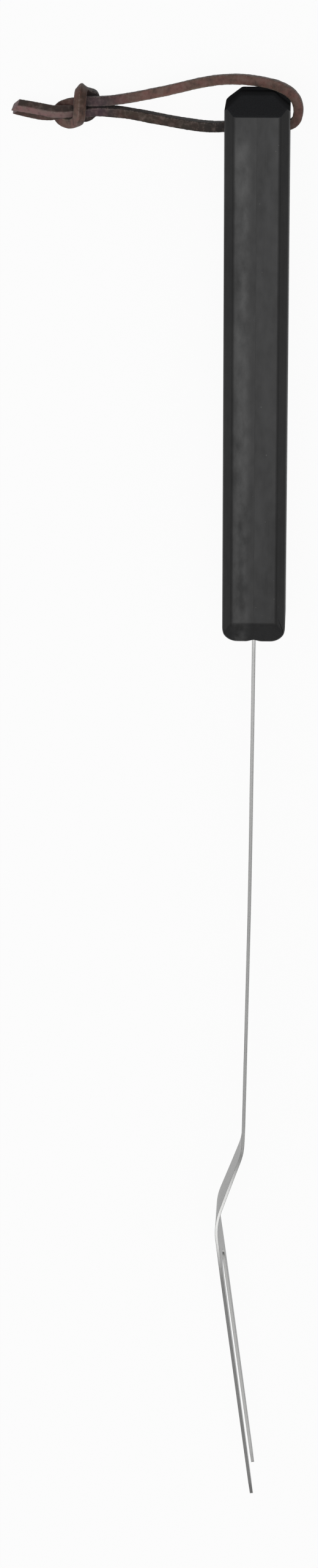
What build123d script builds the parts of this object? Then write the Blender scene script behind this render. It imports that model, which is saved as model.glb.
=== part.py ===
from build123d import *
from math import cos, radians, sin, tan
import os

os.makedirs("parts", exist_ok=True)

# A long two-tined flesh fork: one stamped steel sheet whose tang is hidden
# between two handle scales, with a leather lace knotted through the butt.
# Millimetres. The fork lies on one narrow edge of its handle, on z = 0.
# +Y runs towards the butt and the lace, -Y towards the tines, and X is the
# thickness of the handle. The origin is the middle of the face it lies on.

# Handle
handle_thickness = 20.0
handle_width = 28.0
flat_length = 160.0
long_chamfer = 3.0
butt_bevel_run = 5.8
butt_bevel_drop = 5.0
butt_corner_run = 4.2
butt_corner_drop = 5.0
nose_bevel_run = 7.0
nose_bevel_drop = 4.2
nose_corner_radius = 4.8
edge_radius = 0.7
end_edge_radius = 1.2
joint_ease_width = 2.2
joint_ease_depth = 0.6

# Fork blade
sheet = 1.0
tang_length = 118.0
tang_end_width = 10.0
mouth_width = 13.0
waist_width = 11.0
neck_width = 15.0
knee_width = 18.6
palm_width = 24.8
tine_spacing = 21.6
tine_root_width = 5.2
tine_tip_width = 2.6
tine_point_length = 7.0
tine_point_radius = 0.5
slot_length = 89.0
shank_half_length = 88.0
shank_end_length = 91.3
neck_run = 25.3
head_run = 103.3
shank_angle = 0.5
shank_end_angle = 1.05
neck_angle = 19.8
tine_angle = 7.3
shank_bow_radius = 4000.0
neck_bend_radius = 20.0
knee_bend_radius = 21.0
palm_to_slot = 6.0
neck_flare_slope = 0.03

# Tang pins and the glue round the tang
glue_gap = 0.1
pin_diameter = 4.0
pin_length = 14.0
pin_chamfer = 0.4
pin_clearance = 0.05
front_pin_from_nose = 36.0
rear_pin_from_nose = 96.0

# Lace
lace_width = 3.0
lace_corner = 0.45
lace_hole_diameter = 4.6
lace_hole_from_butt = 10.8
lace_hole_ease = 0.6
knot_right_x = -47.6
knot_left_x = -65.6

# Places that follow from the sizes above
mid_z = handle_width / 2
butt_y = flat_length / 2 + butt_bevel_run
nose_y = -flat_length / 2 - nose_bevel_run
handle_length = butt_y - nose_y
hole_y = butt_y - lace_hole_from_butt
tang_end_y = nose_y + tang_length
front_pin_y = nose_y + front_pin_from_nose
rear_pin_y = nose_y + rear_pin_from_nose
pocket_end_y = tang_end_y + glue_gap

# The centre line of the sheet, from the end of the tang to the tine tips
mid_shank = (-shank_half_length * tan(radians(shank_angle)), nose_y - shank_half_length)
first_bend = (
    mid_shank[0] - shank_end_length * tan(radians(shank_end_angle)),
    mid_shank[1] - shank_end_length,
)
knee = (first_bend[0] - neck_run * tan(radians(neck_angle)), first_bend[1] - neck_run)
tip = (knee[0] + head_run * tan(radians(tine_angle)), knee[1] - head_run)
slot_root_y = tip[1] + slot_length
palm_end_y = slot_root_y - palm_to_slot


def plan_plane(x):
    """The workplane of outlines seen square to the sheet, at the given x."""
    return Plane(origin=(x, 0, mid_z), x_dir=(0, 1, 0), z_dir=(1, 0, 0))


# Fork: one piece of sheet, bent to its side profile and cut to its outline.
# The bends are a side profile of constant thickness, and the shank's waist,
# the palm, the slot and the tapered tines are cut from it as one outline.
blank_width = palm_width + 2 * tine_root_width
with BuildPart() as fork:
    with BuildSketch(Plane.XY.offset(mid_z - blank_width / 2)):
        with BuildLine():
            FilletPolyline(
                (sheet / 2, tang_end_y),
                (sheet / 2, nose_y),
                (mid_shank[0] + sheet / 2, mid_shank[1]),
                (first_bend[0] + sheet / 2, first_bend[1]),
                (knee[0] + sheet / 2, knee[1]),
                (tip[0] + sheet / 2, tip[1]),
                radius=[
                    shank_bow_radius,
                    shank_bow_radius,
                    neck_bend_radius,
                    knee_bend_radius,
                ],
            )
            offset(amount=sheet, side=Side.RIGHT)
        make_face()
    extrude(amount=blank_width)
    with BuildSketch(plan_plane(-handle_thickness)) as outline:
        with BuildLine():
            Line((tang_end_y, 0), (tang_end_y, tang_end_width / 2))
            Line((tang_end_y, tang_end_width / 2), (nose_y, mouth_width / 2))
            ThreePointArc(
                (nose_y, mouth_width / 2),
                ((nose_y + first_bend[1]) / 2, waist_width / 2),
                (first_bend[1], neck_width / 2),
            )
            Spline(
                (first_bend[1], neck_width / 2),
                (knee[1], knee_width / 2),
                (palm_end_y, palm_width / 2),
                tangents=[(-1, neck_flare_slope), (-1, 0)],
            )
            outer_tip_z = tine_spacing / 2 + tine_tip_width / 2
            inner_tip_z = tine_spacing / 2 - tine_tip_width / 2
            slot_half = palm_width / 2 - tine_root_width
            Polyline(
                (palm_end_y, palm_width / 2),
                (tip[1] + tine_point_length, outer_tip_z),
                (tip[1], tine_spacing / 2),
                (tip[1] + tine_point_length, inner_tip_z),
                (slot_root_y - slot_half, slot_half),
            )
            ThreePointArc(
                (slot_root_y - slot_half, slot_half),
                (slot_root_y - slot_half * (1 - cos(radians(45))), slot_half * sin(radians(45))),
                (slot_root_y, 0),
            )
            mirror(about=Plane.XZ)
        make_face()
        fillet(outline.vertices().sort_by(Axis.X)[:2], tine_point_radius)
    extrude(amount=2 * handle_thickness, mode=Mode.INTERSECT)
    with Locations(
        Location((0, front_pin_y, mid_z), (0, 90, 0)),
        Location((0, rear_pin_y, mid_z), (0, 90, 0)),
    ):
        Cylinder(pin_diameter / 2 + pin_clearance, 4 * sheet, mode=Mode.SUBTRACT)
fork.part.label = "fork"
export_step(fork.part, "parts/fork.step")


# Handle scales: two halves glued edge to edge over the tang. Seen from above
# each has a bevelled butt corner, a round nose corner and an eased joint line,
# and flat bevels are then cut along its length and across both of its ends.
def outside_corner(corner, run, drop):
    """A triangle past the bevel that takes run and drop off a corner of an outline.

    run is signed along the first axis and drop along the second, both outwards.
    """
    first, second = corner
    return [
        (first - 2 * run, second + drop),
        (first + run, second + drop),
        (first + run, second - 2 * drop),
    ]


def make_scale(side, name):
    outer_x = side * handle_thickness / 2
    with BuildPart() as scale:
        with BuildSketch(Plane.XY) as plan:
            with BuildLine():
                Polyline(
                    (0, butt_y),
                    (outer_x - side * butt_corner_drop, butt_y),
                    (outer_x, butt_y - butt_corner_run),
                    (outer_x, nose_y),
                    (side * joint_ease_width, nose_y),
                    (0, nose_y + joint_ease_depth),
                    close=True,
                )
            make_face()
            corners = plan.vertices()
            at_nose = corners.group_by(Axis.Y)[0].sort_by(Axis.X, reverse=side > 0)[0]
            at_butt = [v for v in corners.sort_by(Axis.Y)[-3:] if abs(v.X) > joint_ease_width]
            fillet(at_nose, nose_corner_radius)
            fillet(at_butt, end_edge_radius)
        extrude(amount=handle_width)
        with BuildSketch(Plane.XZ):
            for z, down in ((0, -1), (handle_width, 1)):
                with BuildLine():
                    cut = outside_corner((outer_x, z), side * long_chamfer, down * long_chamfer)
                    Polyline(*cut, close=True)
                make_face()
        extrude(amount=handle_length, both=True, mode=Mode.SUBTRACT)
        with BuildSketch(Plane.YZ):
            for z, down in ((0, -1), (handle_width, 1)):
                with BuildLine():
                    cut = outside_corner((butt_y, z), butt_bevel_run, down * butt_bevel_drop)
                    Polyline(*cut, close=True)
                make_face()
                with BuildLine():
                    cut = outside_corner((nose_y, z), -nose_bevel_run, down * nose_bevel_drop)
                    Polyline(*cut, close=True)
                make_face()
        extrude(amount=handle_thickness, both=True, mode=Mode.SUBTRACT)
        lengthwise = scale.edges().filter_by(Axis.Y)
        fillet([e for e in lengthwise if abs(e.center().X) > joint_ease_width], edge_radius)
        with BuildSketch(plan_plane(0)):
            with BuildLine():
                Polyline(
                    (pocket_end_y, -tang_end_width / 2 - glue_gap),
                    (pocket_end_y, tang_end_width / 2 + glue_gap),
                    (nose_y, mouth_width / 2 + glue_gap),
                    (nose_y, -mouth_width / 2 - glue_gap),
                    close=True,
                )
            make_face()
        extrude(amount=side * (sheet / 2 + glue_gap), mode=Mode.SUBTRACT)
        with Locations(
            Location((0, front_pin_y, mid_z), (0, 90, 0)),
            Location((0, rear_pin_y, mid_z), (0, 90, 0)),
        ):
            Cylinder(
                pin_diameter / 2 + pin_clearance,
                pin_length + 2 * pin_clearance,
                mode=Mode.SUBTRACT,
            )
        with Locations(Location((0, hole_y, mid_z), (0, 90, 0))):
            Cylinder(lace_hole_diameter / 2, 2 * handle_thickness, mode=Mode.SUBTRACT)
        mouth = scale.edges().filter_by(GeomType.CIRCLE).sort_by_distance((outer_x, hole_y, mid_z))[0]
        chamfer(mouth, lace_hole_ease)
    scale.part.label = name
    export_step(scale.part, "parts/" + name + ".step")
    return scale.part


left_scale = make_scale(-1, "handle_scale_left")
right_scale = make_scale(1, "handle_scale_right")


# Tang pins: two blind dowels that lock the tang between the scales.
def make_pin(y, name):
    with BuildPart() as pin:
        with Locations(Location((0, y, mid_z), (0, 90, 0))):
            Cylinder(pin_diameter / 2, pin_length)
        chamfer(pin.edges().filter_by(GeomType.CIRCLE), pin_chamfer)
    pin.part.label = name
    export_step(pin.part, "parts/" + name + ".step")


make_pin(front_pin_y, "tang_pin_front")
make_pin(rear_pin_y, "tang_pin_rear")


# Lace: one square strip of leather, doubled. Both halves start in the middle of
# the hole and leave it on either side. The right half ties an overhand knot
# round the left half, and both end in a short tail on the surface below.
right_half_route = [
    (0, hole_y, mid_z),
    (6.0, hole_y, mid_z),
    (11.6, hole_y + 0.6, mid_z),
    (12.8, hole_y + 5.3, 14.4),
    (11.2, hole_y + 9.6, 14.6),
    (6.9, hole_y + 12.2, 14.4),
    (1.0, hole_y + 13.6, 13.7),
    (-7.0, hole_y + 14.2, 12.2),
    (-16.0, hole_y + 13.0, 9.7),
    (-26.0, hole_y + 10.0, 7.2),
    (-35.6, hole_y + 7.6, 5.7),
    (-42.0, hole_y + 6.5, 5.2),
    (-46.6, hole_y + 6.3, 5.4),
    # Through the knot, under its front turn
    (-50.6, hole_y + 6.3, 5.6),
    (-54.2, hole_y + 6.1, 5.2),
    # Round the left half, from above it to below it
    (-57.4, hole_y + 6.0, 4.1),
    (-60.5, hole_y + 5.0, 2.7),
    (-62.9, hole_y + 2.8, 1.9),
    (-62.6, hole_y - 0.3, 1.9),
    (-60.3, hole_y - 2.0, 2.7),
    # The front turn, over both halves
    (-57.6, hole_y - 2.0, 4.9),
    (-56.1, hole_y - 0.1, 7.5),
    (-55.6, hole_y + 3.2, 9.2),
    (-54.8, hole_y + 6.6, 9.2),
    (-53.9, hole_y + 9.3, 7.6),
    # The back turn, under both halves
    (-52.3, hole_y + 9.7, 4.6),
    (-50.6, hole_y + 7.8, 2.4),
    (-50.2, hole_y + 4.7, 1.9),
    (-51.5, hole_y + 2.0, 1.9),
    (-54.0, hole_y + 0.3, 1.9),
    # Up through the first turn, and out as the lower tail
    (-57.0, hole_y + 0.6, 2.1),
    (-59.9, hole_y + 1.2, 3.5),
    (-62.9, hole_y + 1.0, 4.9),
    (-66.2, hole_y + 0.9, 3.8),
    (-70.0, hole_y + 1.6, 2.2),
    (-74.6, hole_y + 2.9, 1.9),
]
left_half_route = [
    (0, hole_y, mid_z),
    (-7.0, hole_y, mid_z),
    (-14.6, hole_y - 0.3, 13.2),
    (-23.4, hole_y + 0.7, 11.3),
    (-33.0, hole_y + 2.0, 9.1),
    (-40.4, hole_y + 2.9, 7.4),
    (-45.6, hole_y + 2.9, 6.2),
    # Straight through the knot, and out as the upper tail
    (-50.0, hole_y + 3.0, 5.5),
    (-54.0, hole_y + 2.6, 5.1),
    (-57.4, hole_y + 2.2, 5.7),
    (-60.6, hole_y + 2.4, 7.3),
    (-63.8, hole_y + 2.6, 7.8),
    (-67.4, hole_y + 2.9, 7.0),
    (-71.0, hole_y + 3.7, 5.7),
    (-74.8, hole_y + 4.7, 5.2),
]


def arc_radii(route):
    """The largest arc that each corner's two runs allow."""
    radii = []
    for before, corner, after in zip(route, route[1:], route[2:]):
        run_in = Vector(corner) - Vector(before)
        run_out = Vector(after) - Vector(corner)
        shorter = min(run_in.length, run_out.length)
        radii.append(0.45 * shorter / tan(radians(run_in.get_angle(run_out) / 2)))
    return radii


def make_lace_half(route, name):
    """The whole of one half, from the middle of the hole to the end of its tail."""
    radii = arc_radii(route)
    with BuildPart() as half:
        with BuildLine() as path:
            FilletPolyline(*route, radius=radii)
        start = Plane(origin=path.line @ 0, x_dir=(0, 1, 0), z_dir=path.line % 0)
        with BuildSketch(start) as strip:
            Rectangle(lace_width, lace_width)
            chamfer(strip.vertices(), lace_corner)
        sweep()
    length = path.wires()[0].length
    expected = length * (lace_width**2 - 2 * lace_corner**2)
    print(name, "length", round(length, 1), "volume over section times length",
          round(half.part.volume / expected, 4))
    print("  radii", [round(r, 1) for r in radii])
    return half.part


# Each half is made whole and then cut on both sides of the knot, so its run, its
# share of the knot and its tail meet face to face.
right_half = make_lace_half(right_half_route, "right half")
left_half = make_lace_half(left_half_route, "left half")
right_of_knot = Plane(origin=(knot_right_x, 0, 0), z_dir=(1, 0, 0))
left_of_knot = Plane(origin=(knot_left_x, 0, 0), z_dir=(-1, 0, 0))


def cut_beyond(half, side_of_knot, name):
    """The stretch of one half that lies outside the knot, on one side of it."""
    with BuildPart() as stretch:
        add(half)
        split(bisect_by=side_of_knot, keep=Keep.TOP)
    stretch.part.label = name
    export_step(stretch.part, "parts/" + name + ".step")


cut_beyond(right_half, right_of_knot, "lace_right_run")
cut_beyond(left_half, right_of_knot, "lace_left_run")
cut_beyond(left_half, left_of_knot, "lace_tail_upper")
cut_beyond(right_half, left_of_knot, "lace_tail_lower")


# Knot: the turns of the right half round the left half, pulled together until
# they press on each other.
with BuildPart() as knot:
    for half in (right_half, left_half):
        inside = split(half, bisect_by=right_of_knot, keep=Keep.BOTTOM, mode=Mode.PRIVATE)
        add(split(inside, bisect_by=left_of_knot, keep=Keep.BOTTOM, mode=Mode.PRIVATE))
knot.part.label = "lace_knot"
export_step(knot.part, "parts/lace_knot.step")
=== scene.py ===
from math import atan, cos, pi, radians, sin, sqrt

import bmesh
import bpy
from mathutils import Matrix, Vector, noise


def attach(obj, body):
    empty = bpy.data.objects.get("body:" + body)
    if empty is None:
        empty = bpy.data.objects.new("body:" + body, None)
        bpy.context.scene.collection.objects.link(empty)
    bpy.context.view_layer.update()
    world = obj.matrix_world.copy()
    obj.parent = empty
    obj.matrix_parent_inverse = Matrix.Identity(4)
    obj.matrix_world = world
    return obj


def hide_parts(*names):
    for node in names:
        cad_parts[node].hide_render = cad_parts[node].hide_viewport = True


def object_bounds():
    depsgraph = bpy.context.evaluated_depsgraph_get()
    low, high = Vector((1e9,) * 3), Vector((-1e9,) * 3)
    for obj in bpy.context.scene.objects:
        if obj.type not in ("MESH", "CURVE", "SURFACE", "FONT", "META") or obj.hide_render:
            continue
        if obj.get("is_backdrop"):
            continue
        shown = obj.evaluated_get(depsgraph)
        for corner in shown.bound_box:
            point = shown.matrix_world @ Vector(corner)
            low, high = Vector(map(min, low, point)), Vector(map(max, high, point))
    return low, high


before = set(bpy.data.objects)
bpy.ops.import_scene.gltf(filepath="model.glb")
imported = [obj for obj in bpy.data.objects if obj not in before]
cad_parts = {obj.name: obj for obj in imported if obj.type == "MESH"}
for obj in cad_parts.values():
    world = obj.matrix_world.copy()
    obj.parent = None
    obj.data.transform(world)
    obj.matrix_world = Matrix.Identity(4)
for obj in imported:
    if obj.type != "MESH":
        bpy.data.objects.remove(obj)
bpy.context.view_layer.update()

mm = 0.001
bpy.ops.object.select_all(action="DESELECT")

# Camera: a longish lens over the handle's butt looks down on the narrow edge of
# the handle and towards the tines. The fork fills the tall frame, so the camera
# is turned a little to the left to take in the lace.
camera_place = (20.0 * mm, 250.9 * mm, 1153.7 * mm)
camera_lens = 85.0
camera_tilt = radians(18.837)
camera_roll = radians(0.737)
camera_turn = radians(2.408)
camera_data = bpy.data.cameras.new("camera")
camera_data.lens = camera_lens
camera = bpy.data.objects.new("camera", camera_data)
bpy.context.collection.objects.link(camera)
camera.matrix_world = (
    Matrix.Translation(camera_place)
    @ Matrix.Rotation(-camera_tilt, 4, "X")
    @ Matrix.Rotation(camera_roll, 4, "Z")
    @ Matrix.Rotation(camera_turn, 4, "Y")
)
bpy.context.scene.camera = camera


# Blade: one strip of 1 mm stainless sheet, blanked to its outline with two tines
# and pressed to a crank behind the palm. Its faces keep the mill's lengthwise
# grain, its blanked edge is brighter, and tumbling has broken the sharp corners.
sheet = 1.0 * mm
blade_middle_z = 14.0 * mm
nose_y = -87.0 * mm
tang_end_y = 31.0 * mm
mid_shank = (-0.768 * mm, -175.0 * mm)
first_bend = (-2.442 * mm, -266.3 * mm)
knee = (-11.551 * mm, -291.6 * mm)
tip = (1.682 * mm, -394.9 * mm)
shank_bow_radius = 4000 * mm
neck_bend_radius = 20 * mm
knee_bend_radius = 21 * mm
tang_end_width = 10.0 * mm
mouth_width = 13.0 * mm
waist_width = 11.0 * mm
neck_width = 15.0 * mm
palm_width = 24.8 * mm
tine_spacing = 21.6 * mm
tine_root_width = 5.2 * mm
tine_tip_width = 2.6 * mm
tine_point_length = 7.0 * mm
tine_point_radius = 0.5 * mm
slot_length = 89.0 * mm
palm_to_slot = 6.0 * mm
broken_corner = 0.13 * mm
tang_pin_places = [nose_y + 36 * mm, nose_y + 96 * mm]
tang_pin_hole_radius = 2.05 * mm
slot_root_y = tip[1] + slot_length
slot_radius = palm_width / 2 - tine_root_width
palm_end_y = slot_root_y - palm_to_slot
point_start_y = tip[1] + tine_point_length


def linear(hex_colour):
    """The linear colour of an sRGB hex value."""
    channels = [int(hex_colour[i:i + 2], 16) / 255 for i in (1, 3, 5)]
    return [c / 12.92 if c <= 0.04045 else ((c + 0.055) / 1.055) ** 2.4 for c in channels] + [1.0]


def node(tree, kind, inputs=None, **settings):
    """Adds a node, sets it up and feeds its inputs with values or with other nodes' sockets."""
    made = tree.nodes.new(kind)
    for name, value in settings.items():
        setattr(made, name, value)
    for name, value in (inputs or {}).items():
        if isinstance(value, bpy.types.NodeSocket):
            tree.links.new(value, made.inputs[name])
        else:
            made.inputs[name].default_value = value
    return made


def new_material(name):
    """A node material, with its tree, its shader and its object coordinates."""
    material = bpy.data.materials.new(name)
    material.use_nodes = True
    tree = material.node_tree
    place = node(tree, "ShaderNodeTexCoord").outputs["Object"]
    return material, tree, tree.nodes["Principled BSDF"], place


def set_stops(ramp, stops):
    """Gives a colour ramp its stops, each a place from 0 to 1 and an sRGB hex colour."""
    elements = ramp.color_ramp.elements
    while len(elements) > 1:
        elements.remove(elements[0])
    elements[0].position, elements[0].color = stops[0][0], linear(stops[0][1])
    for place, hex_colour in stops[1:]:
        elements.new(place).color = linear(hex_colour)


def set_values(shader, **values):
    """Sets the shader's own sockets, whose names are written with underscores."""
    for name, value in values.items():
        shader.inputs[name.replace("_", " ")].default_value = value


def apply_modifier(piece, kind, **settings):
    """Adds a modifier to a piece and applies it."""
    bpy.context.view_layer.objects.active = piece
    modifier = piece.modifiers.new(kind.lower(), kind)
    for name, value in settings.items():
        setattr(modifier, name, value)
    bpy.ops.object.modifier_apply(modifier=modifier.name)


def cut_with(piece, cutter):
    """Cuts one mesh object out of another and deletes the cutter."""
    apply_modifier(piece, "BOOLEAN", operation="DIFFERENCE", solver="EXACT", object=cutter)
    bpy.data.objects.remove(cutter)


def add_cross_rod(place, radius, length):
    """A cylinder that runs across the handle, along X."""
    bpy.ops.object.select_all(action="DESELECT")
    bpy.ops.mesh.primitive_cylinder_add(
        vertices=48, radius=radius, depth=length, location=place, rotation=(0, pi / 2, 0)
    )
    return bpy.context.object


def finish_piece(piece, name, material_slot, *replaced):
    """Puts a piece's place in its mesh, names it, lets it ride and hides the nodes it stands for."""
    bpy.ops.object.select_all(action="DESELECT")
    piece.select_set(True)
    bpy.context.view_layer.objects.active = piece
    bpy.ops.object.transform_apply(location=True, rotation=True, scale=True)
    piece.name = name
    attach(piece, "root")
    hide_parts(*replaced)


def blade_lean(y):
    """How far the sheet moves along X for each unit along Y, at y."""
    corners = [(0.0, nose_y), mid_shank, first_bend, knee]
    radii = [shank_bow_radius, shank_bow_radius, neck_bend_radius, knee_bend_radius]
    leans = [0.0] + [(x1 - x0) / (y1 - y0) for (x0, y0), (x1, y1) in zip(corners, corners[1:] + [tip])]
    lean = 0.0
    for (x, corner_y), radius, before, after in zip(corners, radii, leans, leans[1:]):
        reach = radius * abs(after - before) / 2
        lean += (after - before) * min(1.0, max(0.0, (corner_y + reach - y) / (2 * reach)))
    return lean


def between(start, end, share):
    return start + share * (end - start)


def outside_edge(y):
    """Half the width of the tang, shank, neck and palm, and the outer edge of a tine, at y."""
    tine_outside = (tine_spacing + tine_tip_width) / 2
    if y > nose_y:
        return between(mouth_width, tang_end_width, (y - nose_y) / (tang_end_y - nose_y)) / 2
    if y > first_bend[1]:
        share = 2 * (y - first_bend[1]) / (nose_y - first_bend[1]) - 1
        return between(waist_width, neck_width if share < 0 else mouth_width, share**2) / 2
    if y > palm_end_y:
        share = (first_bend[1] - y) / (first_bend[1] - palm_end_y)
        return between(neck_width, palm_width, share * share * (3 - 2 * share)) / 2
    if y > point_start_y:
        return between(palm_width / 2, tine_outside, (palm_end_y - y) / (palm_end_y - point_start_y))
    return between(tine_outside, tine_spacing / 2, (point_start_y - y) / tine_point_length)


def slot_edge(y):
    """Half the width of the slot between the tines at y. It is 0 above the slot's root."""
    side_start_y = slot_root_y - slot_radius
    tine_inside = (tine_spacing - tine_tip_width) / 2
    if y >= slot_root_y:
        return 0.0
    if y > side_start_y:
        return sqrt(slot_radius**2 - (y - side_start_y) ** 2)
    if y > point_start_y:
        return between(slot_radius, tine_inside, (side_start_y - y) / (side_start_y - point_start_y))
    return between(tine_inside, tine_spacing / 2, (point_start_y - y) / tine_point_length)


def spaced(start, end, step):
    """Places from start down to end, about a step apart, without the end itself."""
    count = max(1, round((start - end) / step))
    return [between(start, end, i / count) for i in range(count)]


# Stations run from the end of the tang to the tips, and lie close together where
# the sheet bends, where the slot begins and where the tines come to a point.
bend_reach = 9 * mm
point_taper = atan(tine_tip_width / 2 / tine_point_length)
tip_round_centre_y = tip[1] + tine_point_radius / sin(point_taper)
tip_round_y = tip_round_centre_y - tine_point_radius * sin(point_taper)
tip_round_steps = 6
blunt_turn = radians(86)
root_degrees = 6
root_stations = 15
shank_step = 5 * mm
bend_step = 0.8 * mm
palm_step = 1.0 * mm
tine_step = 4 * mm
stations = spaced(tang_end_y, nose_y, shank_step)
stations += spaced(nose_y, first_bend[1] + bend_reach, shank_step)
stations += spaced(first_bend[1] + bend_reach, knee[1] - bend_reach, bend_step)
stations += spaced(knee[1] - bend_reach, slot_root_y, palm_step)
stations += [slot_root_y - slot_radius * (1 - cos(radians(root_degrees * i))) for i in range(root_stations)]
stations += spaced(slot_root_y - slot_radius, point_start_y, tine_step)
stations += spaced(point_start_y, tip_round_y, palm_step)
for i in range(tip_round_steps + 1):
    turn = between(point_taper, blunt_turn, i / tip_round_steps)
    stations.append(tip_round_centre_y - tine_point_radius * sin(turn))
middle_x = [0.0]
for y, next_y in zip(stations, stations[1:]):
    middle_x.append(middle_x[-1] + (next_y - y) * (blade_lean(y) + blade_lean(next_y)) / 2)

columns = 4
rows = len(stations) - 1
bpy.ops.mesh.primitive_grid_add(x_subdivisions=rows, y_subdivisions=columns, size=1)
blade = bpy.context.object
for vertex in blade.data.vertices:
    row = round((vertex.co.x + 0.5) * rows)
    share = round((vertex.co.y + 0.5) * columns) / columns
    y = stations[row]
    inside, outside = slot_edge(y), outside_edge(y)
    if y <= tip_round_y:
        half = sqrt(tine_point_radius**2 - (tip_round_centre_y - y) ** 2)
        inside, outside = tine_spacing / 2 - half, tine_spacing / 2 + half
    vertex.co = (middle_x[row], y, between(inside, outside, share))
apply_modifier(
    blade, "MIRROR", use_axis=(False, False, True), use_mirror_merge=True, merge_threshold=0.001 * mm
)
# The slots are there before the sheet gets its thickness, or the rim falls back to the first.
face_slot, rim_slot = 0, 1
blade.data.materials.append(None)
blade.data.materials.append(None)
apply_modifier(blade, "SOLIDIFY", thickness=sheet, offset=0.0, material_offset_rim=rim_slot)
blade.location.z = blade_middle_z
for y in tang_pin_places:
    cut_with(blade, add_cross_rod((0, y, blade_middle_z), tang_pin_hole_radius, 6 * sheet))

# Cold-rolled stainless, satin: a soft grey sheen, drawn out along the blade by
# the fine lengthwise grain of the mill.
rolled_steel, tree, shader, place = new_material("rolled_stainless_face")
grain_width = 0.3 * mm
grain_draw = 60
cloud_width = 25 * mm
grain_depth = 0.01 * mm
along_blade = node(tree, "ShaderNodeMapping", {"Vector": place, "Scale": (1, 1 / grain_draw, 1)}).outputs[0]
grain = node(
    tree, "ShaderNodeTexNoise",
    {"Vector": along_blade, "Scale": 1 / grain_width, "Detail": 3.0, "Roughness": 0.6},
)
clouding = node(tree, "ShaderNodeTexNoise", {"Vector": place, "Scale": 1 / cloud_width, "Detail": 2.0})
tone = node(
    tree, "ShaderNodeMix",
    {"Factor": clouding.outputs["Fac"], 6: linear("#9c9c9b"), 7: linear("#aeaead")}, data_type="RGBA",
)
dulled = node(
    tree, "ShaderNodeMapRange",
    {"Value": grain.outputs["Fac"], "From Min": 0.3, "From Max": 0.7, "To Min": 0.26, "To Max": 0.40},
)
scratch = node(
    tree, "ShaderNodeBump",
    {"Height": grain.outputs["Fac"], "Strength": 0.25, "Distance": grain_depth},
)
tree.links.new(tone.outputs[2], shader.inputs["Base Color"])
tree.links.new(dulled.outputs[0], shader.inputs["Roughness"])
tree.links.new(scratch.outputs[0], shader.inputs["Normal"])
set_values(shader, Metallic=1.0)

# The blanked edge: the same steel sheared across, with fine drag lines square to
# the faces, which tumbling has worn smooth and a little brighter than the faces.
# Near the tips, the lower tine's edge is painted almost white, a painted highlight where it catches the
# light.
blanked_steel, tree, shader, place = new_material("blanked_stainless_edge")
drag_length = 2 * mm
drag_squeeze = 4
highlight_full_below_z, highlight_fades_from_z = 9 * mm, 12 * mm
highlight_fades_from_y, highlight_full_from_y = -298 * mm, -308 * mm
across_blade = node(tree, "ShaderNodeMapping", {"Vector": place, "Scale": (1, drag_squeeze, 1)}).outputs[0]
drag = node(tree, "ShaderNodeTexNoise", {"Vector": across_blade, "Scale": 1 / drag_length, "Detail": 2.0})
tone = node(
    tree, "ShaderNodeMix",
    {"Factor": drag.outputs["Fac"], 6: linear("#a4a4a3"), 7: linear("#b4b4b3")}, data_type="RGBA",
)
# Painted highlight: the mask below is 1 on the lower tine's edge towards the tips, where the edge colour is
# mixed to almost white.
spot = node(tree, "ShaderNodeSeparateXYZ", {"Vector": place}).outputs
low = node(
    tree, "ShaderNodeMapRange",
    {"Value": spot["Z"], "From Min": highlight_fades_from_z, "From Max": highlight_full_below_z},
).outputs[0]
forked = node(
    tree, "ShaderNodeMapRange",
    {"Value": spot["Y"], "From Min": highlight_fades_from_y, "From Max": highlight_full_from_y},
).outputs[0]
painted_highlight = node(tree, "ShaderNodeMath", {0: low, 1: forked}, operation="MULTIPLY").outputs[0]
tone = node(
    tree, "ShaderNodeMix", {"Factor": painted_highlight, 6: tone.outputs[2], 7: linear("#fafaf8")}, data_type="RGBA"
)
tree.links.new(tone.outputs[2], shader.inputs["Base Color"])
set_values(shader, Metallic=1.0, Roughness=0.24)

blade.data.materials[face_slot] = rolled_steel
blade.data.materials[rim_slot] = blanked_steel
bpy.ops.object.select_all(action="DESELECT")
blade.select_set(True)
bpy.context.view_layer.objects.active = blade
bpy.ops.object.shade_smooth()
apply_modifier(
    blade, "BEVEL", width=broken_corner, segments=2, limit_method="ANGLE",
    angle_limit=radians(50), use_clamp_overlap=False, harden_normals=True,
)
finish_piece(blade, "blade", "blade_steel", "fork")


# Tang pins: two turned steel dowels, glued blind between the scales. They are
# inside the handle, so the solids stay and only take the plain steel.
pin_steel, tree, shader, place = new_material("turned_steel_dowel")
turned_width = 1 * mm
turned = node(tree, "ShaderNodeTexNoise", {"Vector": place, "Scale": 1 / turned_width, "Detail": 2.0})
tone = node(
    tree, "ShaderNodeMix",
    {"Factor": turned.outputs["Fac"], 6: linear("#8f8f8f"), 7: linear("#a8a8a8")}, data_type="RGBA",
)
tree.links.new(tone.outputs[2], shader.inputs["Base Color"])
set_values(shader, Metallic=1.0, Roughness=0.45)
for name in ("tang_pin_front", "tang_pin_rear"):
    for material_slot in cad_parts[name].material_slots:
        material_slot.material = pin_steel


# Handle scales: two blocks of close-grained wood, stained black and waxed, glued
# edge to edge over the tang. They are sawn with flat bevels along their length
# and across both ends, and sanded, so every outer corner is soft.
handle_thickness = 20.0 * mm
handle_width = 28.0 * mm
butt_y = 85.8 * mm
long_chamfer = 3.0 * mm
butt_bevel_run = 5.8 * mm
butt_bevel_drop = 5.0 * mm
butt_corner_run = 4.2 * mm
butt_corner_drop = 5.0 * mm
nose_bevel_run = 7.0 * mm
nose_bevel_drop = 4.2 * mm
nose_corner_radius = 4.8 * mm
joint_ease_width = 2.2 * mm
joint_ease_depth = 0.6 * mm
glue_gap = 0.1 * mm
pin_bore_length = 14.1 * mm
lace_hole_radius = 2.3 * mm
hole_y = 75.0 * mm
sanded_radius = 0.6 * mm
joint_line_share = 0.03
sanded_from_angle = radians(14)
bore_margin = 1.1
# Cuts that split the long faces into stretches, so that their corners bevel evenly.
grip_stations = [-77 * mm, -40 * mm, 0, 40 * mm, 68 * mm]


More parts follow.
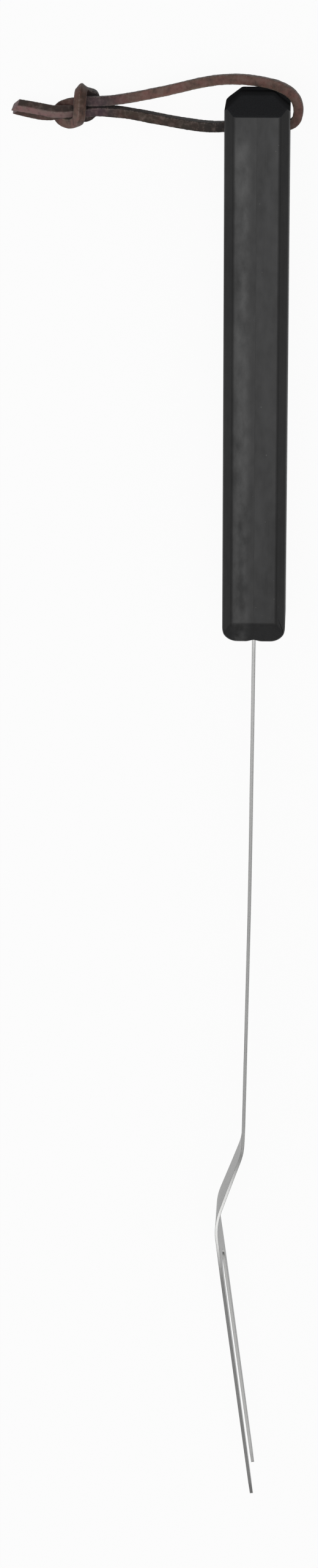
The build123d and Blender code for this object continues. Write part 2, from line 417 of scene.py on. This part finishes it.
def slice_off(piece, place, outwards, keep=False):
    """Saws a piece along a plane, and drops the side that outwards points to unless keep is set."""
    bpy.context.view_layer.objects.active = piece
    bpy.ops.object.mode_set(mode="EDIT")
    bpy.ops.mesh.select_all(action="SELECT")
    bpy.ops.mesh.bisect(
        plane_co=place, plane_no=Vector(outwards).normalized(), use_fill=not keep, clear_outer=not keep,
        threshold=0.001 * mm,
    )
    bpy.ops.object.mode_set(mode="OBJECT")


def round_nose_corner(piece, side):
    """Rounds the upright corner between the scale's outer face and its nose."""
    bpy.context.tool_settings.mesh_select_mode = (False, True, False)
    for part in (*piece.data.vertices, *piece.data.edges, *piece.data.polygons):
        part.select = False
    for edge in piece.data.edges:
        ends = [piece.data.vertices[i].co for i in edge.vertices]
        at_nose = all(end.y < nose_y + joint_ease_depth for end in ends)
        edge.select = at_nose and all(side * end.x > handle_thickness / 2 - glue_gap for end in ends)
    bpy.context.view_layer.objects.active = piece
    bpy.ops.object.mode_set(mode="EDIT")
    bpy.ops.mesh.bevel(offset=nose_corner_radius, segments=10, affect="EDGES")
    bpy.ops.object.mode_set(mode="OBJECT")


def weigh_sanding(piece):
    """Marks how much sanding each corner has had: all of it outside, little at the joint."""
    shape = bmesh.new()
    shape.from_mesh(piece.data)
    weight = shape.edges.layers.float.new("bevel_weight_edge")
    for edge in shape.edges:
        middle = (edge.verts[0].co + edge.verts[1].co) / 2
        in_bore = any(
            Vector((0, middle.y - y, middle.z - blade_middle_z)).length < tang_pin_hole_radius * bore_margin
            for y in tang_pin_places
        )
        in_pocket = abs(middle.x) < sheet and abs(middle.z - blade_middle_z) < handle_width / 3
        inner = in_pocket and nose_y + sheet < middle.y < hole_y + lace_hole_radius * bore_margin
        if in_bore or inner or len(edge.link_faces) != 2 or edge.calc_face_angle() < sanded_from_angle:
            continue
        at_joint = all(abs(vertex.co.x) < 0.01 * mm for vertex in edge.verts)
        edge[weight] = joint_line_share if at_joint or in_pocket else 1.0
    shape.to_mesh(piece.data)
    shape.free()


def make_scale(side):
    """One scale, with its bevels, its half of the tang's pocket, its bores and its lace hole."""
    outer_x = side * handle_thickness / 2
    bpy.ops.object.select_all(action="DESELECT")
    bpy.ops.mesh.primitive_cube_add(
        size=1, location=(outer_x / 2, (butt_y + nose_y) / 2, handle_width / 2),
        scale=(handle_thickness / 2, butt_y - nose_y, handle_width),
    )
    scale = bpy.context.object
    bpy.ops.object.transform_apply(location=True, rotation=True, scale=True)
    round_nose_corner(scale, side)
    slice_off(scale, (side * joint_ease_width, nose_y, 0), (-side * joint_ease_depth, -joint_ease_width, 0))
    slice_off(scale, (outer_x, butt_y - butt_corner_run, 0), (side * butt_corner_run, butt_corner_drop, 0))
    for z, up in ((0, -1), (handle_width, 1)):
        slice_off(scale, (outer_x, 0, z - up * long_chamfer), (side, 0, up))
        slice_off(scale, (0, butt_y - butt_bevel_run, z), (0, butt_bevel_drop, up * butt_bevel_run))
        slice_off(scale, (0, nose_y, z - up * nose_bevel_drop), (0, -nose_bevel_drop, up * nose_bevel_run))
    pocket_length = tang_end_y - nose_y + glue_gap + sheet
    bpy.ops.mesh.primitive_cube_add(
        size=1, location=(0, tang_end_y + glue_gap - pocket_length / 2, blade_middle_z),
        scale=(sheet + 2 * glue_gap, pocket_length, tang_end_width + 2 * glue_gap),
    )
    pocket = bpy.context.object
    for vertex in pocket.data.vertices:
        if vertex.co.y < 0:
            vertex.co.z *= (mouth_width + 2 * glue_gap) / (tang_end_width + 2 * glue_gap)
    cut_with(scale, pocket)
    for y in tang_pin_places:
        cut_with(scale, add_cross_rod((0, y, blade_middle_z), tang_pin_hole_radius, pin_bore_length))
    cut_with(scale, add_cross_rod((0, hole_y, blade_middle_z), lace_hole_radius, 2 * handle_thickness))
    for y in grip_stations:
        slice_off(scale, (0, y, 0), (0, 1, 0), keep=True)
    weigh_sanding(scale)
    scale.select_set(True)
    bpy.context.view_layer.objects.active = scale
    bpy.ops.object.shade_smooth()
    apply_modifier(
        scale, "BEVEL", width=sanded_radius, segments=4, limit_method="WEIGHT", use_clamp_overlap=False
    )
    apply_modifier(scale, "WEIGHTED_NORMAL", weight=100)
    return scale


# Ebonised wood: stained until it is nearly black and rubbed with wax, so it is
# satin. Faint grain runs along the handle, with broad cloudy bands where the
# stain took unevenly, fine open pores, and a paler lengthwise streak of painted
# sheen that stands in for the reflection on the top face.
def ebonised_wood(name, shift, sheen_x, sheen_half, sheen_hex):
    """Black-stained wood with a paler streak of painted sheen along x. The shift makes the two scales two
    boards.
    """
    material, tree, shader, place = new_material(name)
    board = node(tree, "ShaderNodeMapping", {"Vector": place, "Location": shift}).outputs[0]
    speck_width, pore_depth = 0.9 * mm, 0.03 * mm
    patterns = []
    # Width across the board, how many times it is drawn out along it, detail and distortion
    for width, draw, detail, distortion in (
        (0.8 * mm, 30, 3.0, 0.4), (6 * mm, 7, 2.0, 0.0), (2.5 * mm, 2, 4.0, 0.0), (0.22 * mm, 9, 1.0, 0.0),
    ):
        drawn = node(tree, "ShaderNodeMapping", {"Vector": board, "Scale": (1, 1 / draw, 1)}).outputs[0]
        pattern = node(
            tree, "ShaderNodeTexNoise",
            {"Vector": drawn, "Scale": 1 / width, "Detail": detail, "Distortion": distortion},
        )
        patterns.append(pattern.outputs["Fac"])
    grain, band, mottle, pores = patterns
    open_pore = node(
        tree, "ShaderNodeMapRange", {"Value": pores, "From Min": 0.68, "From Max": 0.78, "To Max": 0.3}
    ).outputs[0]
    stain = node(tree, "ShaderNodeMath", {0: band, 1: mottle}, operation="ADD").outputs[0]
    uneven = node(tree, "ShaderNodeMapRange", {"Value": stain, "From Min": 0.7, "From Max": 1.3}).outputs[0]
    colour = node(
        tree, "ShaderNodeMix", {"Factor": uneven, 6: linear("#141415"), 7: linear("#212122")},
        data_type="RGBA",
    ).outputs[2]
    streak = node(
        tree, "ShaderNodeMapRange",
        {"Value": grain, "From Min": 0.4, "From Max": 0.7, "To Min": 0.0, "To Max": 0.3},
    ).outputs[0]
    colour = node(
        tree, "ShaderNodeMix", {"Factor": streak, 6: colour, 7: linear("#292928")}, data_type="RGBA"
    ).outputs[2]
    # Painted sheen: a paler streak centred at the given x across the scale and kept off the butt bevel,
    # standing in for the reflection on the top face.
    spot = node(tree, "ShaderNodeSeparateXYZ", {"Vector": place})
    aside = node(tree, "ShaderNodeMath", {0: spot.outputs["X"], 1: sheen_x}, operation="SUBTRACT")
    aside = node(tree, "ShaderNodeMath", {0: aside.outputs[0]}, operation="ABSOLUTE")
    painted_highlight = node(
        tree, "ShaderNodeMapRange",
        {"Value": aside.outputs[0], "From Min": sheen_half, "From Max": 0.2 * sheen_half},
        interpolation_type="SMOOTHSTEP",
    ).outputs[0]
    sheen_before_butt = node(
        tree, "ShaderNodeMapRange",
        {
            "Value": spot.outputs["Y"],
            "From Min": butt_y - butt_bevel_run, "From Max": butt_y - 3 * butt_bevel_run,
        },
        interpolation_type="SMOOTHSTEP",
    ).outputs[0]
    painted_highlight = node(tree, "ShaderNodeMath", {0: painted_highlight, 1: sheen_before_butt}, operation="MULTIPLY").outputs[0]
    painted_highlight = node(tree, "ShaderNodeMath", {0: painted_highlight, 1: uneven}, operation="MULTIPLY").outputs[0]
    colour = node(
        tree, "ShaderNodeMix", {"Factor": painted_highlight, 6: colour, 7: linear(sheen_hex)}, data_type="RGBA"
    ).outputs[2]
    colour = node(
        tree, "ShaderNodeMix", {"Factor": open_pore, 6: colour, 7: linear("#101010")}, data_type="RGBA"
    ).outputs[2]
    specks = node(
        tree, "ShaderNodeTexNoise", {"Vector": board, "Scale": 1 / speck_width, "Detail": 1.0}
    ).outputs["Fac"]
    knock = node(
        tree, "ShaderNodeMapRange", {"Value": specks, "From Min": 0.79, "From Max": 0.82, "To Max": 0.5}
    ).outputs[0]
    colour = node(
        tree, "ShaderNodeMix", {"Factor": knock, 6: colour, 7: linear("#6a6a68")}, data_type="RGBA"
    ).outputs[2]
    rough = node(
        tree, "ShaderNodeMapRange",
        {"Value": stain, "From Min": 0.7, "From Max": 1.3, "To Min": 0.5, "To Max": 0.42},
    ).outputs[0]
    height = node(tree, "ShaderNodeMath", {0: grain, 1: open_pore}, operation="SUBTRACT").outputs[0]
    bump = node(tree, "ShaderNodeBump", {"Height": height, "Strength": 0.3, "Distance": pore_depth})
    tree.links.new(colour, shader.inputs["Base Color"])
    tree.links.new(rough, shader.inputs["Roughness"])
    tree.links.new(bump.outputs[0], shader.inputs["Normal"])
    return material


# The same wood sawn across at the butt: the end grain drank more stain and took no
# polish, so it is flat black, with the open ends of its pores.
end_grain, tree, shader, place = new_material("ebonised_end_grain")
pore_end, pore_end_depth = 0.35 * mm, 0.04 * mm
pores = node(tree, "ShaderNodeTexNoise", {"Vector": place, "Scale": 1 / pore_end, "Detail": 2.0})
tone = node(
    tree, "ShaderNodeMix",
    {"Factor": pores.outputs["Fac"], 6: linear("#242425"), 7: linear("#323335")}, data_type="RGBA",
)
bump = node(
    tree, "ShaderNodeBump", {"Height": pores.outputs["Fac"], "Strength": 0.4, "Distance": pore_end_depth}
)
tree.links.new(tone.outputs[2], shader.inputs["Base Color"])
tree.links.new(bump.outputs[0], shader.inputs["Normal"])
set_values(shader, Roughness=1.0, Specular_IOR_Level=0.0)


def stain_end_grain(piece):
    """Gives the faces that the saw cut across the grain at the butt their own finish."""
    piece.data.materials.append(end_grain)
    for face in piece.data.polygons:
        if face.normal.y > 0.15 and face.center.y > butt_y - 2 * butt_bevel_run:
            face.material_index = 1


# The last three values give each scale's painted sheen streak: its place across the scale, its half width and
# its colour.
left_scale = make_scale(-1)
left_scale.data.materials.append(
    ebonised_wood("ebonised_wood_left", (0, 0, 0), -4.2 * mm, 3.6 * mm, "#484848")
)
stain_end_grain(left_scale)
finish_piece(left_scale, "scale_left", "handle_wood", "handle_scale_left")
right_scale = make_scale(1)
right_scale.data.materials.append(
    ebonised_wood("ebonised_wood_right", (0.3, 0.2, 0.1), 2.8 * mm, 4.2 * mm, "#242425")
)
stain_end_grain(right_scale)
finish_piece(right_scale, "scale_right", "handle_wood", "handle_scale_right")


# Lace: one strip of brown leather, cut 3 mm square, doubled through the hole and
# tied. The right half is knotted round the left half just before their cut ends.
# Every second side of the strip is a cut side, which is paler and rougher.
lace_width = 3.0 * mm
lace_corner = 0.45 * mm
corner_share = 0.79
path_step = 0.3 * mm
slanted_length = 4 * mm
slant_across, slant_down = 0.6, 0.5
squeeze_share, squeeze_spacing = 0.04, 7 * mm
fuzz_height = 0.075 * mm
fuzz_spacing, fine_fuzz_spacing, fine_fuzz_share = 0.9 * mm, 0.4 * mm, 0.6
right_half_route = [
    (0.0, 0.075, 0.014), (0.006, 0.075, 0.014), (0.0116, 0.0756, 0.014), (0.0128, 0.0803, 0.0144),
    (0.0112, 0.0846, 0.0146), (0.0069, 0.0872, 0.0144), (0.001, 0.0886, 0.0137), (-0.007, 0.0892, 0.0122),
    (-0.016, 0.088, 0.0097), (-0.026, 0.0852, 0.0076), (-0.0356, 0.083, 0.0061), (-0.042, 0.0818, 0.0056),
    (-0.0468, 0.0812, 0.0059),
    # Through the knot, under its front turn
    (-0.0506, 0.0811, 0.0059), (-0.0542, 0.0812, 0.0055),
    # Round the left half, from above it to below it
    (-0.0569, 0.0806, 0.0049), (-0.0594, 0.0801, 0.0037), (-0.0616, 0.0788, 0.0024),
    (-0.0623, 0.077, 0.0019), (-0.0615, 0.0751, 0.0019), (-0.0596, 0.0741, 0.0028),
    # The front turn, over both halves
    (-0.0576, 0.0741, 0.0043), (-0.056, 0.0748, 0.0066), (-0.0552, 0.0766, 0.0088), (-0.055, 0.0794, 0.0094),
    (-0.0549, 0.0822, 0.0095), (-0.0547, 0.0845, 0.0084),
    # The back turn, under both halves
    (-0.0546, 0.085, 0.0062), (-0.0539, 0.0838, 0.0041), (-0.0525, 0.083, 0.003), (-0.0509, 0.0826, 0.0026),
    (-0.0505, 0.0809, 0.002), (-0.0506, 0.0788, 0.0019), (-0.0517, 0.0769, 0.0019), (-0.0537, 0.0757, 0.0019),
    # Up through the first turn, and out as the lower tail
    (-0.056, 0.0763, 0.002), (-0.0586, 0.0776, 0.003), (-0.0612, 0.0773, 0.0045), (-0.0635, 0.0769, 0.0049),
    (-0.0662, 0.0767, 0.0038), (-0.07, 0.077, 0.0022), (-0.0752, 0.0782, 0.0019),
]
left_half_route = [
    (0.0, 0.075, 0.014), (-0.007, 0.075, 0.014), (-0.0146, 0.0745, 0.0132), (-0.0234, 0.0754, 0.0116),
    (-0.033, 0.0768, 0.0093), (-0.0404, 0.0779, 0.0076), (-0.0456, 0.0782, 0.0064),
    # Straight through the knot, and out as the upper tail
    (-0.05, 0.0784, 0.0056), (-0.054, 0.0779, 0.0053), (-0.0574, 0.0781, 0.0061),
    (-0.0606, 0.078, 0.0077), (-0.0636, 0.0782, 0.0081), (-0.0674, 0.0788, 0.0071),
    (-0.0712, 0.0793, 0.006), (-0.0752, 0.0798, 0.0053),
]
left_half_turns = [(0.05, 0), (0.2, -10), (0.5, -12), (0.64, -20), (0.8, -45), (1, -45)]


def smooth_path(points, step):
    """Points along the lace's NURBS line, a step apart."""
    line = bpy.data.curves.new("lace_line", "CURVE")
    line.dimensions = "3D"
    line.resolution_u = 24
    spline = line.splines.new("NURBS")
    spline.points.add(len(points) - 1)
    for point, place in zip(spline.points, points):
        point.co = (*place, 1.0)
    spline.order_u = 3
    spline.use_endpoint_u = True
    holder = bpy.data.objects.new("lace_line", line)
    bpy.context.collection.objects.link(holder)
    bpy.context.view_layer.update()
    mesh = bpy.data.meshes.new_from_object(holder)
    sampled = [vertex.co.copy() for vertex in mesh.vertices]
    bpy.data.objects.remove(holder)
    path, left = [sampled[0]], step
    for start, end in zip(sampled, sampled[1:]):
        run = (end - start).length
        while left <= run:
            path.append(start.lerp(end, left / run))
            left += step
        left -= run
    return path


def strip_outline(width, corner, corner_steps=3, side_steps=4):
    """Points round a square with rounded corners, side after side."""
    points = []
    flat = width / 2 - corner
    for side in range(4):
        turn = radians(90 * side)
        local = [(width / 2, between(-flat, flat, i / side_steps)) for i in range(side_steps + 1)]
        for i in range(1, corner_steps):
            angle = radians(90 * i / corner_steps)
            local.append((flat + corner * cos(angle), flat + corner * sin(angle)))
        points += [(x * cos(turn) - y * sin(turn), x * sin(turn) + y * cos(turn)) for x, y in local]
    return points


def eased(stops, share):
    """A value between the nearest two of a list of (share, value) stops."""
    for (start, first), (end, second) in zip(stops, stops[1:]):
        if share <= end:
            t = (share - start) / (end - start)
            return between(first, second, t * t * (3 - 2 * t))
    return stops[-1][1]


def make_lace_half(name, points, turns):
    """Half of the lace: a square strip along its line, twisted by turns and cut off at a slant."""
    path = smooth_path(points, path_step)
    outline = strip_outline(lace_width, lace_corner)
    around = len(outline)
    side = Vector((0, 0, 1))
    vertices, faces = [], []
    for i, centre in enumerate(path):
        along = (path[min(i + 1, len(path) - 1)] - path[max(i - 1, 0)]).normalized()
        side = (side - along * side.dot(along)).normalized()
        turn = radians(eased(turns, i / (len(path) - 1)))
        out = side * cos(turn) + along.cross(side) * sin(turn)
        across = along.cross(out)
        squeeze = 1 + squeeze_share * noise.noise(centre / squeeze_spacing)
        for u, v in outline:
            spot = centre + (out * u + across * v) * squeeze
            fuzz = noise.noise(spot / fuzz_spacing)
            fuzz += fine_fuzz_share * noise.noise(spot / fine_fuzz_spacing)
            slant = slant_across * (centre.y - spot.y) + slant_down * (centre.z - spot.z)
            near_end = max(0.0, 1 - (len(path) - 1 - i) * path_step / slanted_length)
            spot += along * slant * near_end
            vertices.append(spot + (spot - centre).normalized() * fuzz * fuzz_height)
    for i in range(len(path) - 1):
        for j in range(around):
            k = (j + 1) % around
            faces.append((i * around + j, i * around + k, (i + 1) * around + k, (i + 1) * around + j))
    last = (len(path) - 1) * around
    faces.append(tuple(reversed(range(around))))
    faces.append(tuple(range(last, last + around)))
    mesh = bpy.data.meshes.new(name)
    mesh.from_pydata(vertices, [], faces)
    uv = mesh.uv_layers.new(name="lace")
    for polygon in mesh.polygons:
        ring_face = len(polygon.vertices) == 4
        for loop in polygon.loop_indices:
            vertex = mesh.loops[loop].vertex_index
            i, j = divmod(vertex, around)
            wraps = ring_face and j == 0 and polygon.index % around == around - 1
            share_round = (j + around * wraps) / around
            uv.data[loop].uv = (i / (len(path) - 1), share_round if ring_face else -1.0)
    mesh.shade_smooth()
    piece = bpy.data.objects.new(name, mesh)
    bpy.context.collection.objects.link(piece)
    return piece, path


# Oiled leather strip: the grain and flesh sides were dyed and are dark, the two
# cut sides are brown and nappy, and the corners are rubbed pale. Light and shade
# are painted along the strip's length.
def lace_leather(name, side_colours, light_and_shade_stops):
    """Leather whose four sides have their own colours, with painted light and shade along its length."""
    material, tree, shader, place = new_material(name)
    patch_width, blotch_width, nap_width, nap_depth = 4 * mm, 1.8 * mm, 0.5 * mm, 0.1 * mm
    uv = node(tree, "ShaderNodeUVMap", uv_map="lace").outputs[0]
    split = node(tree, "ShaderNodeSeparateXYZ", {"Vector": uv}).outputs
    sides = node(tree, "ShaderNodeValToRGB", {"Fac": split["Y"]})
    side_stops = [(0.0, side_colours[0])]
    for i, hex_colour in enumerate(side_colours):
        side_stops += [(i / 4 + 0.02, hex_colour), (i / 4 + 0.16, hex_colour)]
    set_stops(sides, side_stops)
    # Painted light and shade: a ramp along the strip's length, multiplied into the colour of its sides.
    painted_light = node(tree, "ShaderNodeValToRGB", {"Fac": split["X"]})
    set_stops(painted_light, light_and_shade_stops)
    colour = node(
        tree, "ShaderNodeMix", {"Factor": 1.0, 6: sides.outputs["Color"], 7: painted_light.outputs["Color"]},
        data_type="RGBA", blend_type="MULTIPLY",
    ).outputs[2]
    patches = node(
        tree, "ShaderNodeTexNoise", {"Vector": place, "Scale": 1 / patch_width, "Detail": 2.0}
    ).outputs["Fac"]
    patchy = node(
        tree, "ShaderNodeMapRange", {"Value": patches, "From Min": 0.4, "From Max": 0.6}
    ).outputs[0]
    tint = node(
        tree, "ShaderNodeMix", {"Factor": patchy, 6: linear("#eaeade"), 7: linear("#ffe4e0")},
        data_type="RGBA",
    ).outputs[2]
    colour = node(
        tree, "ShaderNodeMix", {"Factor": 1.0, 6: colour, 7: tint}, data_type="RGBA", blend_type="MULTIPLY"
    ).outputs[2]
    blotches = node(
        tree, "ShaderNodeTexNoise",
        {"Vector": place, "Scale": 1 / blotch_width, "Detail": 3.0, "Roughness": 0.6},
    ).outputs["Fac"]
    worn = node(
        tree, "ShaderNodeMapRange", {"Value": blotches, "From Min": 0.5, "From Max": 0.75, "To Max": 0.5}
    ).outputs[0]
    colour = node(
        tree, "ShaderNodeMix", {"Factor": worn, 6: colour, 7: linear("#85726b")}, data_type="RGBA"
    ).outputs[2]
    oiled = node(
        tree, "ShaderNodeMapRange", {"Value": blotches, "From Min": 0.5, "From Max": 0.28, "To Max": 0.6}
    ).outputs[0]
    colour = node(
        tree, "ShaderNodeMix", {"Factor": oiled, 6: colour, 7: linear("#2a2120")}, data_type="RGBA"
    ).outputs[2]
    nap = node(
        tree, "ShaderNodeTexNoise",
        {"Vector": place, "Scale": 1 / nap_width, "Detail": 3.0, "Roughness": 0.7},
    ).outputs["Fac"]
    quarter = node(tree, "ShaderNodeMath", {0: split["Y"], 1: 4.0}, operation="MULTIPLY")
    quarter = node(tree, "ShaderNodeMath", {0: quarter.outputs[0]}, operation="FRACT")
    off_corner = node(
        tree, "ShaderNodeMath", {0: quarter.outputs[0], 1: corner_share}, operation="SUBTRACT"
    )
    off_corner = node(tree, "ShaderNodeMath", {0: off_corner.outputs[0]}, operation="ABSOLUTE")
    at_corner = node(
        tree, "ShaderNodeMapRange", {"Value": off_corner.outputs[0], "From Min": 0.2, "From Max": 0.05}
    ).outputs[0]
    frayed = node(
        tree, "ShaderNodeMapRange", {"Value": nap, "From Min": 0.45, "From Max": 0.65, "To Max": 0.6}
    ).outputs[0]
    frayed = node(tree, "ShaderNodeMath", {0: frayed, 1: at_corner}, operation="MULTIPLY").outputs[0]
    colour = node(
        tree, "ShaderNodeMix", {"Factor": frayed, 6: colour, 7: linear("#8d8079")}, data_type="RGBA"
    ).outputs[2]
    cut_end = node(
        tree, "ShaderNodeMapRange", {"Value": split["Y"], "From Min": -0.2, "From Max": -0.8}
    ).outputs[0]
    colour = node(
        tree, "ShaderNodeMix", {"Factor": cut_end, 6: colour, 7: linear("#84696a")}, data_type="RGBA"
    ).outputs[2]
    bump = node(tree, "ShaderNodeBump", {"Height": nap, "Strength": 0.6, "Distance": nap_depth})
    tree.links.new(colour, shader.inputs["Base Color"])
    tree.links.new(bump.outputs[0], shader.inputs["Normal"])
    set_values(shader, Roughness=0.66, Sheen_Weight=0.1, Sheen_Roughness=0.5)
    return material


# Right half's painted light and shade: dark at the hole, a bluish highlight where it enters the knot, pale
# highlights on the lower loop and the front turn, and painted shade where the back turn lies behind the front
# turn.
right_leather = lace_leather(
    "oiled_leather_right", ["#866a63", "#6a544c", "#64504a", "#95847b"],
    [
        (0.0, "#505050"), (0.1, "#e0d8d4"), (0.45, "#e6dedc"), (0.52, "#8e8ea8"), (0.56, "#84809a"),
        (0.58, "#b8a6a6"), (0.63, "#c4b4b4"), (0.65, "#ffffff"), (0.71, "#ffffff"), (0.74, "#d2c0b4"),
        (0.765, "#b09c94"), (0.785, "#6c6468"), (0.83, "#64607a"), (0.86, "#a89898"), (0.91, "#e6dedc"),
    ],
)
# Left half's painted light and shade: dark along the handle, bluish highlights where it runs through the
# knot, and full colour on the upper tail.
left_leather = lace_leather(
    "oiled_leather_left", ["#94797a", "#43342f", "#5e4c46", "#5e4c46"],
    [
        (0.0, "#303030"), (0.14, "#404040"), (0.26, "#6c7060"), (0.55, "#84846e"), (0.64, "#8a8a9e"),
        (0.74, "#a49cac"), (0.8, "#ffffff"),
    ],
)
right_half, right_path = make_lace_half("lace_right_half", right_half_route, [(0, 0), (1, 0)])
right_half.data.materials.append(right_leather)
finish_piece(
    right_half, "lace_right_half", "lace_leather", "lace_right_run", "lace_knot", "lace_tail_lower"
)
left_half, left_path = make_lace_half("lace_left_half", left_half_route, left_half_turns)
left_half.data.materials.append(left_leather)
finish_piece(left_half, "lace_left_half", "lace_leather", "lace_left_run", "lace_tail_upper")


# Floor, world and lamp: a plain pale floor, and soft studio light that is
# brightest overhead and falls off towards the horizon.
bpy.ops.object.select_all(action="DESELECT")
bpy.ops.mesh.primitive_plane_add(size=6.0)
floor = bpy.context.object
floor.name = "studio_floor"
floor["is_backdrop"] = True

white_in_view, white_in_gloss = 0.94, 0.5
white_floor = bpy.data.materials.new("white_floor")
white_floor.use_nodes = True
tree = white_floor.node_tree
tree.nodes.remove(tree.nodes["Principled BSDF"])
paint = node(tree, "ShaderNodeBsdfDiffuse", {"Color": (0.85, 0.85, 0.85, 1)})
white = node(tree, "ShaderNodeEmission", {"Color": (1, 1, 1, 1), "Strength": 1.0})
ray = node(tree, "ShaderNodeLightPath").outputs
in_gloss = node(
    tree, "ShaderNodeMath", {0: ray["Is Glossy Ray"], 1: ray["Is Transmission Ray"]}, operation="MAXIMUM"
)
in_gloss = node(tree, "ShaderNodeMath", {0: in_gloss.outputs[0], 1: white_in_gloss}, operation="MULTIPLY")
in_view = node(tree, "ShaderNodeMath", {0: ray["Is Camera Ray"], 1: white_in_view}, operation="MULTIPLY")
whitened = node(
    tree, "ShaderNodeMath", {0: in_view.outputs[0], 1: in_gloss.outputs[0]}, operation="MAXIMUM"
)
surface = node(
    tree, "ShaderNodeMixShader", {0: whitened.outputs[0], 1: paint.outputs[0], 2: white.outputs[0]}
)
tree.links.new(surface.outputs[0], tree.nodes["Material Output"].inputs["Surface"])
floor.data.materials.append(white_floor)

world = bpy.data.worlds.new("soft_studio")
bpy.context.scene.world = world
world.use_nodes = True
tree = world.node_tree
direction = node(tree, "ShaderNodeTexCoord").outputs["Generated"]
direction = node(tree, "ShaderNodeSeparateXYZ", {"Vector": direction}).outputs
by_height = node(tree, "ShaderNodeFloatCurve", {"Value": direction["Z"]})
for place, level in ((0.3, 0.14), (0.6, 0.7)):
    by_height.mapping.curves[0].points.new(place, level)
by_height.mapping.curves[0].points[0].location = (0.0, 0.12)
by_height.mapping.curves[0].points[-1].location = (1.0, 0.85)
lengthwise = node(tree, "ShaderNodeMapRange", {"Value": direction["Y"], "From Min": -1.0})
by_end = node(tree, "ShaderNodeFloatCurve", {"Value": lengthwise.outputs[0]})
for place, level in ((0.28, 0.55), (0.5, 1.0), (0.65, 0.8), (0.85, 0.3)):
    by_end.mapping.curves[0].points.new(place, level)
by_end.mapping.curves[0].points[0].location = (0.0, 0.6)
by_end.mapping.curves[0].points[-1].location = (1.0, 0.2)
level = node(
    tree, "ShaderNodeMath", {0: by_height.outputs[0], 1: by_end.outputs[0]}, operation="MULTIPLY"
)
sky = node(tree, "ShaderNodeBackground", {"Color": (1, 1, 1, 1), "Strength": level.outputs[0]})
backdrop = node(tree, "ShaderNodeBackground", {"Color": (1, 1, 1, 1), "Strength": 1.0})
ray = node(tree, "ShaderNodeLightPath").outputs
shown = node(
    tree, "ShaderNodeMixShader", {0: ray["Is Camera Ray"], 1: sky.outputs[0], 2: backdrop.outputs[0]}
)
tree.links.new(shown.outputs[0], tree.nodes["World Output"].inputs["Surface"])

softbox_width, softbox_length, softbox_watts = 1.4, 1.36, 8.8
softbox_place = (0.0, -0.08, 2.0)
softbox_data = bpy.data.lights.new("softbox", "AREA")
softbox_data.shape = "RECTANGLE"
softbox_data.size = softbox_width
softbox_data.size_y = softbox_length
softbox_data.energy = softbox_watts
softbox = bpy.data.objects.new("softbox", softbox_data)
bpy.context.collection.objects.link(softbox)
softbox.location = softbox_place

bpy.context.scene.view_settings.view_transform = "Standard"

low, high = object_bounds()
